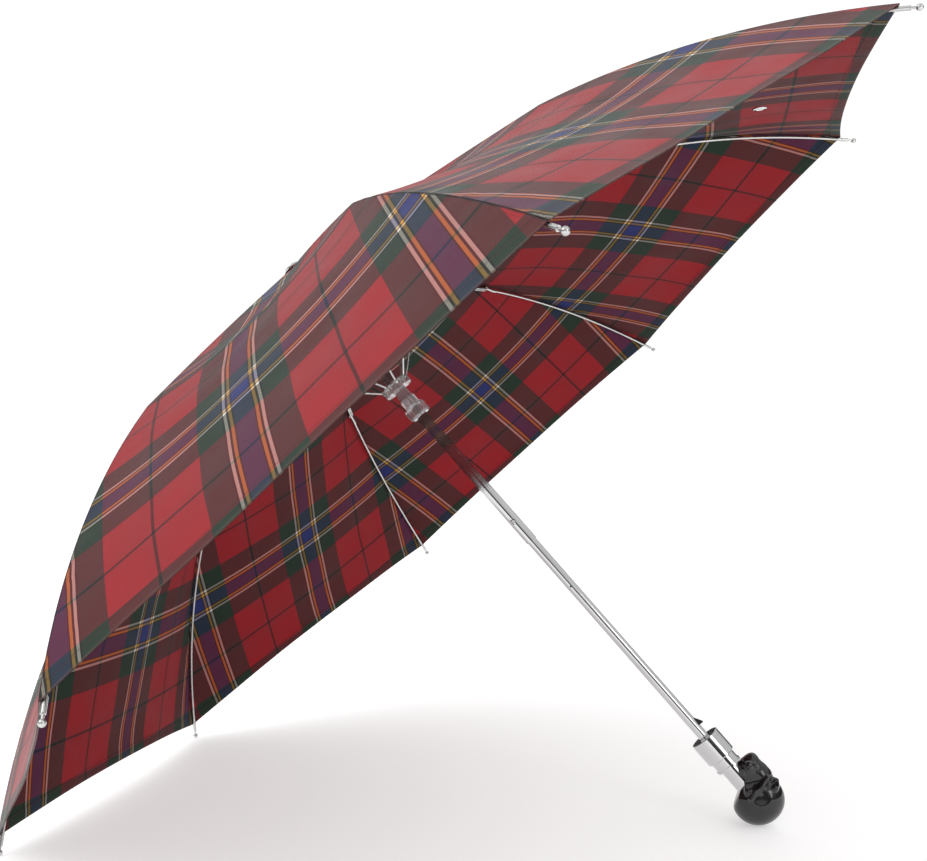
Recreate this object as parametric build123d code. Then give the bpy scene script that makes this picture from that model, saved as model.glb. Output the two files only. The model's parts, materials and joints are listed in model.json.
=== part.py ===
from build123d import *
import math
import os

# Two-fold umbrella, open, resting on two rib tips and the knob of its handle. Millimetres.
# It is drawn in the umbrella's own frame: origin at the middle of the circle of rib tips, +Z along
# the shaft towards the handle, +X towards the middle of the panel that leans on the floor.
# Every finished piece is then stood up in the part's frame: +Z up, origin on the floor under that
# circle's middle, +X towards the handle.

# ---- driving dimensions -------------------------------------------------------------------
RIBS = 8
TIP_R = 485.0            # shaft axis to the end of a rib tip
TIP_BALL_R = 2.4         # ball on the end of each rib
FABRIC = 0.5             # thickness of the cover
SCALLOP = 8.0            # how far the hem curves in between two tips
CORNER_GAP = 9.0         # the cover's corner stops this short of the tip's end
COVER_SPLIT = 0.002      # share of each arc left open where the cover creases over the ribs' folds

# ridge of the cover over a rib, as (radius, height): two arcs that meet over the rib's fold
CROWN = (7.0, -229.0)
CROWN_MID = (131.0, -192.6)
FOLD = (261.0, -152.0)
OUTER_MID = (373.5, -92.0)
CORNER = (TIP_R - CORNER_GAP, -10.8)

# ribs: distance from the cover down to the rib's centre line
RIB_DROP = 5.0
ROOT_PIN = (10.0, -223.0)      # hinge of an inner rib on the top notch's ring
RIB_W = 3.4
RIB_H = 2.4
RIB_WALL = 0.5
ROD_R = 1.1
PIN_RISE = 2.4                 # the fold's rivet sits this far above the ribs' centre lines
RIVET_R = 0.8
EAR_R = 2.2
EAR_T = 0.5
TAB_T = 1.8
TAB_START = 9.0                # the flat tab turns into a round rod this far from the fold
TIP_SLEEVE = 16.0              # the tip's sleeve starts this far before the rib's end
TIP_SLEEVE_R = 1.7
TIP_NECK = 5.5
TIP_NECK_R = 1.0

# stretchers
STRUT_PIN_R = 118.0            # radius of the rivet that joins stretcher and inner rib
STRUT_DROP = 3.2               # that rivet hangs this far below the rib's centre line
STRUT_R = 0.9
EYE_R = 2.1
EYE_T = 1.8
NECK_LENGTH = 6.0              # flat neck between an inner rib's eye and its channel
EAR_BACK = 7.0                 # the fold's ears reach this far back along the inner rib
EAR_HALF = 4.0                 # half the length of the stretcher's ears
FOLD_GAP_R = 6.5               # room cleared between each pair of ears for what folds there
STRUT_GAP_R = 4.8
PIN_PLAY = 0.06                # play of a turning piece round its rivet
RIVET_HEAD_R = 1.5
RIVET_HEAD_T = 0.5

# top of the shaft
TUBE_R = 5.0
TUBE_WALL = 0.55
TUBE_TOP = -231.4
TUBE_END = 86.0
NOTCH_R = 12.0
NOTCH_TOP = -226.4
NOTCH_BOTTOM = -220.3
HUB_R = 7.2
HUB_BOTTOM = -211.5
RING_WIRE_R = 0.6
SLOT_W = 2.6
CAP_R = 7.5
CAP_TOP = -233.0
CAP_SEAT = -230.2
CAP_EDGE = 0.4                 # share of the cap's height taken by its rounded edge
ROSETTE_R = 10.0

# runner
RUNNER_TOP = -93.2
RUNNER_PIN = (12.0, -91.7)     # ring wire that carries the stretchers' eyes
RUNNER_WIRE_R = 0.5
RUNNER_WIRE_PLAY = 0.35
CROWN_R = 13.25
CROWN_H = 7.0
SLEEVE_R = 5.95
SLEEVE_BORE = 5.2
GRIP_TOP = -75.9
GRIP_PITCH = 2.0
GRIP_RINGS = 4
KNOB_TOP = -67.9
KNOB_R = 10.3
KNOB_END = -56.9
POCKET_R = 8.0
POCKET = (-66.0, -58.0)        # hollow in the knob where a spring catch sits

# lower shaft and handle
LOWER_R = 4.25
LOWER_WALL = 0.6
LOWER_TOP = 58.0
LOWER_END = 312.0
COLLAR_TOP = 299.0
COLLAR_R = 12.65
COLLAR_END = 319.5
CUP_BORE_R = 5.3               # the cup takes the upper tube's end when the shaft is pushed together
CUP_FLOOR = 310.0
STEP_R = 10.5
STEP_END = 327.5
LIP_R = 11.25
LIP_END = 329.2
NECK_R = 8.5
NECK_END = 352.0
STUD_R = 2.5
STUD = (313.0, 360.0)
SKULL_R = 21.5
SKULL_Z = 363.5
FACE_W = 25.0
# features of the skull, as (forward, to the side, away from the neck, radius) from its middle
CHEEKBONE = (15.0, 11.5, -9.0, 4.6)
EYE_SOCKET = (23.5, 7.6, -4.5, 5.4)
TEMPLE = (8.0, 20.0, -16.0, 8.5)
NOSE = (24.5, 0.0, -13.5, 3.2)
TEETH_FRONT = 21.6             # the line between the teeth is cut in as far as this
TEETH_LINE = (-23.4, -22.6)

# catches and buttons
UPPER_CATCH_ANGLE = -110.0
UPPER_CATCH = (-65.5, -58.5)
LOWER_CATCH_ANGLE = 180.0
LOWER_CATCH = (282.0, 289.0)
SHAFT_TRAVEL = 223.3           # how far the lower tube slides into the upper one
CRIMP = (27.0, 31.0)
UPPER_REACH = 2.6              # how far each catch stands out of its tube
LOWER_REACH = 3.5
CATCH_W = 1.8
LEAF_T = 0.4
HOOK_T = 1.0                   # height of the blunt end of each catch
LINK_ANGLE = -90.0
LINK_Z = 63.5
LINK_R = 1.7

HUB_PIN_Z = -215.0             # cross pin through the top notch's hub and the tube
PIN_R = 0.8
DOT_Z = 136.0                  # crimp dot on the lower tube
DOT_R = 0.8

# closing strap, on the panel between ribs 5 and 6
STRAP_RIB = 5
STRAP_LENGTH = 84.0
STRAP_WIDTH = 18.0
STRAP_T = 0.8
STRAP_LIFT = 0.6
STRAP_OFFSET = 30.0            # off the panel's middle line, towards rib 5
STRAP_SHARE = 0.58             # where the band's middle lies along the outer arc
STUD_SHARE = 0.71
STUD_LIFT = 4.0

# ---- how it stands on the floor -------------------------------------------------------------
half_step = math.pi / RIBS
tip_x = (TIP_R - TIP_BALL_R) * math.cos(half_step)
lean = math.acos((TIP_BALL_R - SKULL_R) / math.hypot(tip_x, SKULL_Z)) - math.atan2(tip_x, SKULL_Z)
rim_height = tip_x * math.sin(lean) + TIP_BALL_R
STAND = Plane(
    origin=(0, 0, rim_height),
    x_dir=(-math.cos(lean), 0, -math.sin(lean)),
    z_dir=(math.sin(lean), 0, -math.cos(lean)),
).location

os.makedirs("parts", exist_ok=True)


def save(name, *solids):
    """Stands the solids of one piece up in the part's frame and writes them."""
    group = [STAND * s for s in solids]
    shape = group[0] if len(group) == 1 else Compound(children=group)
    shape.label = name
    export_step(shape, f"parts/{name}.step")


def rib_angle(k):
    return (k - 1.5) * 360 / RIBS


def tube(r_out, r_in, z0, z1):
    outer = Pos(0, 0, z0) * Cylinder(r_out, z1 - z0, align=(Align.CENTER, Align.CENTER, Align.MIN))
    if not r_in:
        return outer
    return outer - Pos(0, 0, z0) * Cylinder(r_in, z1 - z0, align=(Align.CENTER, Align.CENTER, Align.MIN))


def ring(radius, section_r, z):
    return Pos(0, 0, z) * Torus(radius, section_r)


def plate(outline, thickness):
    """A flat piece in the rib's own plane, from an outline in (radius, height)."""
    face = Plane.XZ * make_face(outline)
    return extrude(face, thickness / 2, both=True)


def disc(centre, radius, thickness):
    """A round plate across the rib's plane."""
    return extrude(Plane.XZ * Pos(*centre) * Circle(radius), thickness / 2, both=True)


def box_at(radius0, radius1, width, z0, z1):
    return Pos((radius0 + radius1) / 2, 0, (z0 + z1) / 2) * Box(radius1 - radius0, width, z1 - z0)


def one(shape):
    """The single solid of a finished piece."""
    return max(shape.solids(), key=lambda s: s.volume)


# ---- ribs -------------------------------------------------------------------------------------
crown_arc = ThreePointArc(CROWN, CROWN_MID, FOLD)
outer_arc = ThreePointArc(FOLD, OUTER_MID, CORNER)


def below(arc, share, drop):
    """The point a given distance under the cover's ridge, square to it, on the handle's side."""
    point, way = arc @ share, arc % share
    return (point.X - way.Y * drop, point.Y + way.X * drop)


inner_start = (ROOT_PIN[0] + 4.5, ROOT_PIN[1] + 0.4)
inner_mid = below(crown_arc, 0.48, RIB_DROP)
inner_end = below(crown_arc, 1.0, RIB_DROP)
inner_line = ThreePointArc(inner_start, inner_mid, inner_end)
fold_way = inner_line % 1.0
fold_pin = (inner_end[0] + fold_way.Y * PIN_RISE, inner_end[1] - fold_way.X * PIN_RISE)
strut_share = (STRUT_PIN_R - inner_start[0]) / (inner_end[0] - inner_start[0])
strut_way = inner_line % strut_share
strut_top = inner_line @ strut_share
strut_pin = (strut_top.X - strut_way.Y * STRUT_DROP, strut_top.Y + strut_way.X * STRUT_DROP)


def band(arc, start, end, high, low):
    """The strip between two lines that run beside an arc, from one share of it to another."""
    shares = (start, (start + end) / 2, end)
    top = [below(arc, s, high) for s in shares]
    bottom = [below(arc, s, low) for s in shares]
    return [
        ThreePointArc(*top),
        Line(top[2], bottom[2]),
        ThreePointArc(*bottom),
        Line(bottom[0], top[0]),
    ]


def inner_rib():
    """Folded steel channel, open towards the handle, with an eye, two pairs of ears and rivets."""
    half = RIB_H / 2
    last = 1 - 3.4 / inner_line.length
    body = plate(band(inner_line, 0, last, -half, half), RIB_W)
    body -= plate(band(inner_line, 0.02, 1, -half + RIB_WALL, half + 1), RIB_W - 2 * RIB_WALL)
    # eye on the top notch's ring
    far = ROOT_PIN[0] + NECK_LENGTH
    neck = [(ROOT_PIN[0], ROOT_PIN[1] - 0.9), (far, ROOT_PIN[1] - 0.7),
            (far, ROOT_PIN[1] + 1.5), (ROOT_PIN[0], ROOT_PIN[1] + 0.9)]
    body += plate(Polyline(*neck, close=True), EYE_T) + disc(ROOT_PIN, EYE_R - 0.2, EYE_T)
    body -= disc(ROOT_PIN, RING_WIRE_R + 0.15, RIB_W)
    # ears at the fold and at the stretcher, one pair each, with a gap for what turns between them
    fold_back = below(inner_line, 1 - EAR_BACK / inner_line.length, 0)
    fold_ear = [fold_back, (fold_pin[0] - 1.2, fold_pin[1] - EAR_R + 0.3),
                (fold_pin[0] + 1.2, fold_pin[1] + EAR_R - 0.3), below(inner_line, last, half)]
    reach = EAR_HALF / inner_line.length
    strut_ear = [below(inner_line, strut_share - reach, half - 0.6),
                 below(inner_line, strut_share + reach, half - 0.6),
                 (strut_pin[0] + 1.6, strut_pin[1] + 1.0), (strut_pin[0] - 1.6, strut_pin[1] + 1.0)]
    ears = plate(Polyline(*fold_ear, close=True), RIB_W) + disc(fold_pin, EAR_R, RIB_W)
    ears += plate(Polyline(*strut_ear, close=True), RIB_W) + disc(strut_pin, EAR_R, RIB_W)
    gap = RIB_W - 2 * EAR_T
    ears -= disc(fold_pin, FOLD_GAP_R, gap) + disc(strut_pin, STRUT_GAP_R, gap)
    body = body + ears - disc(fold_pin, RIVET_R, RIB_W + 1) - disc(strut_pin, RIVET_R, RIB_W + 1)
    return one(body)


def rivet(centre):
    out = (RIB_W + RIVET_HEAD_T) / 2
    heads = [Pos(0, side * out, 0) * disc(centre, RIVET_HEAD_R, RIVET_HEAD_T) for side in (-1, 1)]
    return one(disc(centre, RIVET_R, RIB_W) + heads[0] + heads[1])


def outer_rib_line():
    start = below(outer_arc, 0.0, RIB_DROP)
    middle = below(outer_arc, 0.5, (RIB_DROP + 2) / 2)
    return ThreePointArc(start, middle, (TIP_R - TIP_BALL_R, 0))


def rod_along(arc, start, end, radius):
    """A round rod along one stretch of an arc."""
    path = ThreePointArc(*[below(arc, s, 0) for s in (start, (start + end) / 2, end)])
    path = Plane.XZ * path
    return sweep(Plane(origin=path @ 0, z_dir=path % 0) * Circle(radius), path)


def outer_rib():
    """Round steel rod with a flat tab that turns between the inner rib's ears."""
    line = outer_rib_line()
    joint = TAB_START / line.length
    flat = [below(line, joint, -ROD_R), below(line, joint * 1.6, -ROD_R),
            below(line, joint * 1.6, ROD_R), below(line, joint, ROD_R),
            (fold_pin[0] + 0.6, fold_pin[1] + EAR_R - 0.25),
            (fold_pin[0] + 0.6, fold_pin[1] - EAR_R + 0.25)]
    tab = plate(Polyline(*flat, close=True), TAB_T) + disc(fold_pin, EAR_R - 0.1, TAB_T)
    tab -= disc(fold_pin, RIVET_R + PIN_PLAY, RIB_W)
    last = 1 - TIP_SLEEVE / line.length
    return one(tab + rod_along(line, joint * 1.3, last, ROD_R))


def rib_tip():
    """Pressed end sleeve with the ball that the cover's corner pocket ties to."""
    line = outer_rib_line()
    start, end = 1 - TIP_SLEEVE / line.length, 1 - TIP_NECK / line.length
    sleeve = rod_along(line, start, end, TIP_SLEEVE_R)
    stem = rod_along(line, end - 0.002, 1.0, TIP_NECK_R)
    return one(sleeve + stem + Plane.XZ * Pos(TIP_R - TIP_BALL_R, 0) * Sphere(TIP_BALL_R))


def stretcher():
    """Straight wire with a flat eye at each end."""
    start, end = Vector(strut_pin[0], 0, strut_pin[1]), Vector(RUNNER_PIN[0], 0, RUNNER_PIN[1])
    way = (end - start).normalized()
    rod = Plane(origin=start + way * 1.6, z_dir=way) * Cylinder(
        STRUT_R, (end - start).length - 3.2, align=(Align.CENTER, Align.CENTER, Align.MIN))
    body = rod + disc(strut_pin, EYE_R, EYE_T) + disc(RUNNER_PIN, EYE_R, EYE_T)
    body -= disc(strut_pin, RIVET_R + PIN_PLAY, RIB_W)
    return one(body - disc(RUNNER_PIN, RUNNER_WIRE_R + RUNNER_WIRE_PLAY, RIB_W))


# ---- cover ------------------------------------------------------------------------------------
def panel_half(arc, side, start, end):
    """The half of a panel beside a rib: a flat-across sheet from the seam to the panel's middle."""
    squeeze = math.cos(half_step)

    def across(point):
        return (point[0] * squeeze, point[1])

    shares = (start, (start + end) / 2, end)
    low = [across(below(arc, s, 0)) for s in shares]
    high = [across(below(arc, s, -FABRIC)) for s in shares]
    outline = [ThreePointArc(*high), Line(high[2], low[2]), ThreePointArc(*low), Line(low[0], high[0])]
    width = 2 * TIP_R * math.sin(half_step) + 20
    sheet = Rot(0, 0, side * 180 / RIBS) * plate(outline, width)
    # keep what lies between the rib's plane and the panel's middle plane
    reach = TIP_R * 1.2
    wedge = make_face(Polyline((0, 0), (reach, 0),
                               (reach * math.cos(half_step), side * reach * math.sin(half_step)),
                               close=True))
    return sheet & Pos(0, 0, -300) * extrude(wedge, 400)


def hem_cut():
    """Everything outside the hem: between two corners the edge curves in towards the shaft."""
    reach = TIP_R * 1.3
    corner = [(CORNER[0] * math.cos(a), CORNER[0] * math.sin(a))
              for a in (-2 * half_step, 0, 2 * half_step)]
    middles = [((CORNER[0] * math.cos(half_step) - SCALLOP) * math.cos(a),
                (CORNER[0] * math.cos(half_step) - SCALLOP) * math.sin(a))
               for a in (-half_step, half_step)]
    edge = [ThreePointArc(corner[0], middles[0], corner[1]),
            ThreePointArc(corner[1], middles[1], corner[2]),
            Polyline(corner[2], (reach * math.cos(2 * half_step), reach * math.sin(2 * half_step)),
                     (reach, 0), (reach * math.cos(2 * half_step), -reach * math.sin(2 * half_step)),
                     corner[0])]
    return Pos(0, 0, -300) * extrude(make_face(edge), 400)


def cover_piece(arc, start, end):
    return panel_half(arc, -1, start, end) + panel_half(arc, 1, start, end)


# ---- write the pieces that repeat round the shaft -----------------------------------------------
inner_piece, outer_piece, strut_piece = inner_rib(), outer_rib(), stretcher()
tip_piece, fold_rivet, strut_rivet = rib_tip(), rivet(fold_pin), rivet(strut_pin)
crown_cover = one(cover_piece(crown_arc, 0, 1 - COVER_SPLIT))
rim_cover = one(cover_piece(outer_arc, COVER_SPLIT, 1) - hem_cut())

for k in range(1, RIBS + 1):
    turn = Rot(0, 0, rib_angle(k))
    save(f"inner_rib_{k}", turn * inner_piece, turn * fold_rivet, turn * strut_rivet)
    save(f"outer_rib_{k}", turn * outer_piece, turn * tip_piece)
    save(f"stretcher_{k}", turn * strut_piece)
    save(f"cover_crown_{k}", turn * crown_cover)
    save(f"cover_rim_{k}", turn * rim_cover)


# ---- top of the shaft -----------------------------------------------------------------------------
def turned(angle, shape):
    return Rot(0, 0, angle) * shape


def outward(radius, length):
    """A round bar from the shaft's axis straight out along X."""
    return Rot(0, 90, 0) * Cylinder(radius, length, align=(Align.CENTER, Align.CENTER, Align.MIN))


def all_round(shape):
    """Copies of a shape at every rib."""
    return [turned(rib_angle(k), shape) for k in range(1, RIBS + 1)]


def upper_tube():
    """Outer tube of the shaft, with slots for both catches, the link button's hole and a crimp."""
    body = tube(TUBE_R, TUBE_R - TUBE_WALL, TUBE_TOP, TUBE_END)
    low, high = UPPER_CATCH
    body -= turned(UPPER_CATCH_ANGLE, box_at(1, TUBE_R + 1, CATCH_W + 0.4, low - 0.6, high + 0.6))
    button_hole = box_at(1, TUBE_R + 1, 2 * LINK_R + 0.4, LINK_Z - 1.6, LINK_Z + 1.6)
    round_end = outward(LINK_R + 0.2, TUBE_R + 1)
    body -= turned(LINK_ANGLE, button_hole)
    for end in (-1.6, 1.6):
        body -= turned(LINK_ANGLE, Pos(0, 0, LINK_Z + end) * round_end)
    body -= turned(LOWER_CATCH_ANGLE, box_at(1, TUBE_R + 1, CATCH_W, *CRIMP))
    # the lower catch comes out here once the shaft is pushed together, and holds the closed runner
    low, high = (z - SHAFT_TRAVEL for z in LOWER_CATCH)
    body -= turned(LOWER_CATCH_ANGLE, box_at(1, TUBE_R + 1, CATCH_W + 0.4, low - 0.6, high + 0.6))
    body -= Pos(0, 0, HUB_PIN_Z) * Rot(90, 0, 0) * Cylinder(PIN_R, 30)
    return one(body)


def top_notch():
    """Slotted disc and hub on the tube's top, with a groove for the wire that the ribs hinge on."""
    body = tube(NOTCH_R, TUBE_R, NOTCH_TOP, NOTCH_BOTTOM) + tube(HUB_R, TUBE_R, NOTCH_BOTTOM, HUB_BOTTOM)
    for slot in all_round(box_at(HUB_R, NOTCH_R + 2, SLOT_W, NOTCH_TOP - 1, NOTCH_BOTTOM + 1)):
        body -= slot
    body -= ring(ROOT_PIN[0], RING_WIRE_R, ROOT_PIN[1])
    body -= Pos(0, 0, HUB_PIN_Z) * Rot(90, 0, 0) * Cylinder(PIN_R, 30)
    return one(body)


def top_cap():
    """Low turned cap that closes the tube and clamps the cover."""
    height = CAP_SEAT - CAP_TOP
    body = Pos(0, 0, CAP_TOP) * Cylinder(CAP_R, height, align=(Align.CENTER, Align.CENTER, Align.MIN))
    rim = body.edges().filter_by(GeomType.CIRCLE).sort_by(Axis.Z)[0]
    body = fillet(rim, height * CAP_EDGE)
    body -= Pos(0, 0, TUBE_TOP) * Cylinder(TUBE_R, 20, align=(Align.CENTER, Align.CENTER, Align.MIN))
    return one(body)


def catch(angle, tube_r, wall, reach, low, high, leaf_length, hook_up):
    """Spring catch: a leaf inside the tube and a wedge that stands out through its slot."""
    inside = tube_r - wall - 0.3
    tip = tube_r + reach
    hook, slope, step = (low, high, HOOK_T) if hook_up else (high, low, -HOOK_T)
    wedge = [(inside - LEAF_T, hook), (tip, hook), (tip, hook + step), (tube_r, slope),
             (inside - LEAF_T, slope)]
    body = plate(Polyline(*wedge, close=True), CATCH_W)
    body += box_at(inside - LEAF_T, inside, CATCH_W, low, high + leaf_length)
    return turned(angle, one(body))


# ---- runner -----------------------------------------------------------------------------------------
def runner_body():
    """Clear moulded slider: slotted crown, sleeve, ringed grip and eight-sided knob."""
    crown = tube(CROWN_R, SLEEVE_BORE, RUNNER_TOP, RUNNER_TOP + CROWN_H)
    for slot in all_round(box_at(RUNNER_PIN[0] - EYE_R - 0.5, CROWN_R + 2, SLOT_W, RUNNER_TOP - 1,
                                 RUNNER_TOP + CROWN_H + 1)):
        crown -= slot
    # a shallow flute in each lobe gives the scalloped edge
    flute = Pos(CROWN_R + 1.4, 0, RUNNER_TOP) * Cylinder(2.6, 3 * CROWN_H)
    for k in range(RIBS):
        crown -= turned(k * 360 / RIBS, flute)
    crown -= ring(RUNNER_PIN[0], RUNNER_WIRE_R, RUNNER_PIN[1])
    sleeve = tube(SLEEVE_R, SLEEVE_BORE, RUNNER_TOP + CROWN_H, KNOB_TOP)
    body = crown + sleeve
    for n in range(GRIP_RINGS):
        z = GRIP_TOP + n * GRIP_PITCH
        body += tube(SLEEVE_R + 1.2, SLEEVE_BORE, z, z + GRIP_PITCH / 2)
    knob = extrude(Pos(0, 0, KNOB_TOP) * RegularPolygon(KNOB_R, 8, rotation=22.5), KNOB_END - KNOB_TOP)
    ends = knob.edges().filter_by(Plane.XY)
    knob = chamfer(ends, 1.6)
    knob -= tube(SLEEVE_BORE, 0, KNOB_TOP, KNOB_END)
    knob -= tube(POCKET_R, 0, *POCKET)
    return one(body + knob)


# ---- lower shaft and handle ---------------------------------------------------------------------------
def lower_tube():
    """Inner tube of the shaft, with a slot for its catch, the link button's hole and a crimp dot."""
    body = tube(LOWER_R, LOWER_R - LOWER_WALL, LOWER_TOP, LOWER_END)
    low, high = LOWER_CATCH
    body -= turned(LOWER_CATCH_ANGLE, box_at(1, LOWER_R + 1, CATCH_W + 0.4, low - 0.6, high + 0.6))
    across = outward(LINK_R + 0.2, LOWER_R + 1)
    dot = outward(DOT_R, LOWER_R + 1)
    body -= turned(LINK_ANGLE, Pos(0, 0, LINK_Z) * across)
    body -= turned(LINK_ANGLE, Pos(0, 0, DOT_Z) * dot)
    return one(body)


def link_button():
    """Button on a leaf spring inside the inner tube; it locks the two tubes when drawn out."""
    inside = LOWER_R - LOWER_WALL - 0.35
    stem = Pos(inside - LEAF_T, 0, LINK_Z) * Rot(0, 90, 0) * Cylinder(
        LINK_R, TUBE_R + 0.9 - inside + LEAF_T, align=(Align.CENTER, Align.CENTER, Align.MIN))
    face = stem.faces().sort_by(Axis.X)[-1]
    stem = fillet(face.edges(), 0.6)
    leaf = box_at(inside - LEAF_T, inside, 2.6, LINK_Z - 4, LINK_Z + 24)
    return turned(LINK_ANGLE, one(stem + leaf))


def collar_cup():
    body = tube(COLLAR_R, CUP_BORE_R, COLLAR_TOP, CUP_FLOOR) + tube(COLLAR_R, LOWER_R, CUP_FLOOR, LOWER_END)
    body += tube(COLLAR_R, STUD_R, LOWER_END, COLLAR_END)
    edges = body.edges().filter_by(GeomType.CIRCLE).filter_by(lambda e: e.radius > COLLAR_R - 0.1)
    return one(fillet(edges, 0.7))


def collar_ring():
    return one(tube(STEP_R, STUD_R, COLLAR_END, STEP_END) + tube(LIP_R, STUD_R, STEP_END, LIP_END))


def neck_sleeve():
    return one(tube(NECK_R, STUD_R, LIP_END, NECK_END))


def handle_stud():
    """Threaded stud, drawn at its pitch size, from the collar through the neck into the knob."""
    return one(tube(STUD_R, 0, *STUD))


def skull_ball(ball, side):
    forward, across, up, radius = ball
    return Pos(forward, side * across, SKULL_Z + up) * Sphere(radius)


def skull_knob():
    """Plain anatomical skull, crown away from the shaft, its face to the side of the lower catch."""
    cranium = Pos(0, 0, SKULL_Z) * Sphere(SKULL_R)
    face_profile = [(-4, SKULL_Z - 32.5), (20.5, SKULL_Z - 31), (23, SKULL_Z - 26), (23.2, SKULL_Z - 14),
                    (21.6, SKULL_Z - 6), (20, SKULL_Z + 4), (4, SKULL_Z), (-6, SKULL_Z - 14)]
    face = plate(Polyline(*face_profile, close=True), FACE_W)
    face = fillet(face.edges().filter_by(Axis.Y), 2.5)
    face = chamfer(face.faces().sort_by(Axis.Y)[0].edges() + face.faces().sort_by(Axis.Y)[-1].edges(), 2.0)
    body = cranium + face
    for side in (-1, 1):
        body += skull_ball(CHEEKBONE, side)
        body -= skull_ball(EYE_SOCKET, side)
        body -= skull_ball(TEMPLE, side)
    body -= skull_ball(NOSE, 0)
    body -= box_at(TEETH_FRONT, 30, FACE_W, SKULL_Z + TEETH_LINE[0], SKULL_Z + TEETH_LINE[1])
    body -= tube(NECK_R, 0, SKULL_Z - 45, NECK_END)
    body -= tube(STUD_R, 0, NECK_END - 1, STUD[1])
    return turned(180, one(body))


# ---- closing strap ------------------------------------------------------------------------------------
def strap_frame(share, lift):
    """Frame on one side of the cover beside a rib, x along the panel towards the hem."""
    squeeze = math.cos(half_step)
    point, way = below(outer_arc, share, 0), outer_arc % share
    way = Vector(way.X * squeeze, 0, way.Y).normalized()
    origin = Vector(point[0] * squeeze + way.Z * lift, 0, point[1] - way.X * lift)
    flat = Plane(origin=origin, x_dir=way, z_dir=Vector(way.Z, 0, -way.X))
    return Rot(0, 0, rib_angle(STRAP_RIB) + 180 / RIBS) * flat.location * Pos(0, STRAP_OFFSET, 0)


def closure_strap():
    """Short band that lies on the outside of the cover, its loose end towards the crown."""
    return one(strap_frame(STRAP_SHARE, FABRIC + STRAP_LIFT) * extrude(
        SlotOverall(STRAP_LENGTH, STRAP_WIDTH), STRAP_T))


def strap_stud():
    """Press stud: its cap on the strap, and its back plate inside the cover."""
    cap = strap_frame(STUD_SHARE, STUD_LIFT) * Cylinder(5.0, 1.0)
    back = strap_frame(STUD_SHARE, -0.9) * Cylinder(6.0, 1.0)
    return [one(cap), one(back)]


save("upper_tube", upper_tube())
save("top_notch", top_notch())
save("notch_wire", ring(ROOT_PIN[0], RING_WIRE_R, ROOT_PIN[1]))
save("notch_pin", Pos(0, 0, HUB_PIN_Z) * Rot(90, 0, 0) * Cylinder(PIN_R, 2 * HUB_R))
save("top_cap", top_cap())
save("cap_rosette", tube(ROSETTE_R, TUBE_R + 0.05, CAP_SEAT, CAP_SEAT + FABRIC))
save("upper_catch", catch(UPPER_CATCH_ANGLE, TUBE_R, TUBE_WALL, UPPER_REACH, *UPPER_CATCH, 22, True))
save("runner_body", runner_body())
save("runner_wire", ring(RUNNER_PIN[0], RUNNER_WIRE_R, RUNNER_PIN[1]))
save("lower_tube", lower_tube())
save("lower_catch", catch(LOWER_CATCH_ANGLE, LOWER_R, LOWER_WALL, LOWER_REACH, *LOWER_CATCH, 16, False))
save("link_button", link_button())
save("collar_cup", collar_cup())
save("collar_ring", collar_ring())
save("neck_sleeve", neck_sleeve())
save("handle_stud", handle_stud())
save("skull_knob", skull_knob())
save("closure_strap", closure_strap())
save("strap_stud", *strap_stud())

print(f"fold rivet {fold_pin}, stretcher rivet {strut_pin}")
print(f"leans {math.degrees(lean):.2f} degrees, rim centre {rim_height:.2f} mm up")
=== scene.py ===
# %% [markdown]
# # A tartan folding umbrella with a skull knob
# The umbrella lies open on two of its rib tips and on the knob of its handle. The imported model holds
# the metalwork: tubes, ribs, stretchers, catches and collar. Blender adds what a fixed solid can't
# show: the stretched tartan cover with its seams and hem, the carved skull, and every finish.
# The first cell loads that model. Nothing below moves it.

# %% Load the frame
import json
import math

import bmesh
import bpy
import numpy as np
from mathutils import Matrix, Vector, noise


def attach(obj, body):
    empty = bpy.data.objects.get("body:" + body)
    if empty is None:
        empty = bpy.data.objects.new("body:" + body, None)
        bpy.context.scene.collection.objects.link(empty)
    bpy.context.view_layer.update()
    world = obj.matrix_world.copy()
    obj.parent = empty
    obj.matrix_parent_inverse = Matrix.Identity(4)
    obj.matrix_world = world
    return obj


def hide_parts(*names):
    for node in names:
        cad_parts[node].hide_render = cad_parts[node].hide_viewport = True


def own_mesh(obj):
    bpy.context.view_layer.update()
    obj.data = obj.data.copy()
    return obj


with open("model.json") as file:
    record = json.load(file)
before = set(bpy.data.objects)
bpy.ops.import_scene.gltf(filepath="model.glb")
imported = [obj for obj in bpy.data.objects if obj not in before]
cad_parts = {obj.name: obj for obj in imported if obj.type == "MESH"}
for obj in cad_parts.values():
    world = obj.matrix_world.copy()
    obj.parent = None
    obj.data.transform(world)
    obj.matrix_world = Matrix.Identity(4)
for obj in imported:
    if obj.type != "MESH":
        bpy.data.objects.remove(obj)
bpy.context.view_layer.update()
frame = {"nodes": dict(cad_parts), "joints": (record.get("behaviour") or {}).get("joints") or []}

joints = {joint["name"]: joint for joint in frame["joints"]}

# %% [markdown]
# ## The umbrella's own axes
# Everything on an umbrella is turned round its shaft, so the pieces are drawn in polar form: a radius
# from the shaft, an angle round it and a distance along it. The joints say where that shaft lies in the
# room: the runner slides along it, and the eight inner ribs hinge on a ring round it.

# %% Work out the shaft's line and the middle of the rim
RIBS = 8
HALF_STEP = math.pi / RIBS
shaft_way = Vector(joints["runner_slide"]["axis"]).normalized()
hinges = [Vector(joints[f"inner_fold_{k}"]["pos_m"]) for k in range(1, RIBS + 1)]
crown_centre = sum(hinges, Vector()) / RIBS
rim_centre = crown_centre - shaft_way * (crown_centre.x / shaft_way.x)
across_way = Vector((0, 1, 0))
low_way = across_way.cross(shaft_way)
AXES = np.array([low_way, across_way, shaft_way])
ORIGIN = np.array(rim_centre)


def rib_angle(k):
    return (k - 1.5) * 2 * HALF_STEP


def in_room(points):
    """Points given along the umbrella's own axes, in the room's."""
    return np.asarray(points, float) @ AXES + ORIGIN


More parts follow.
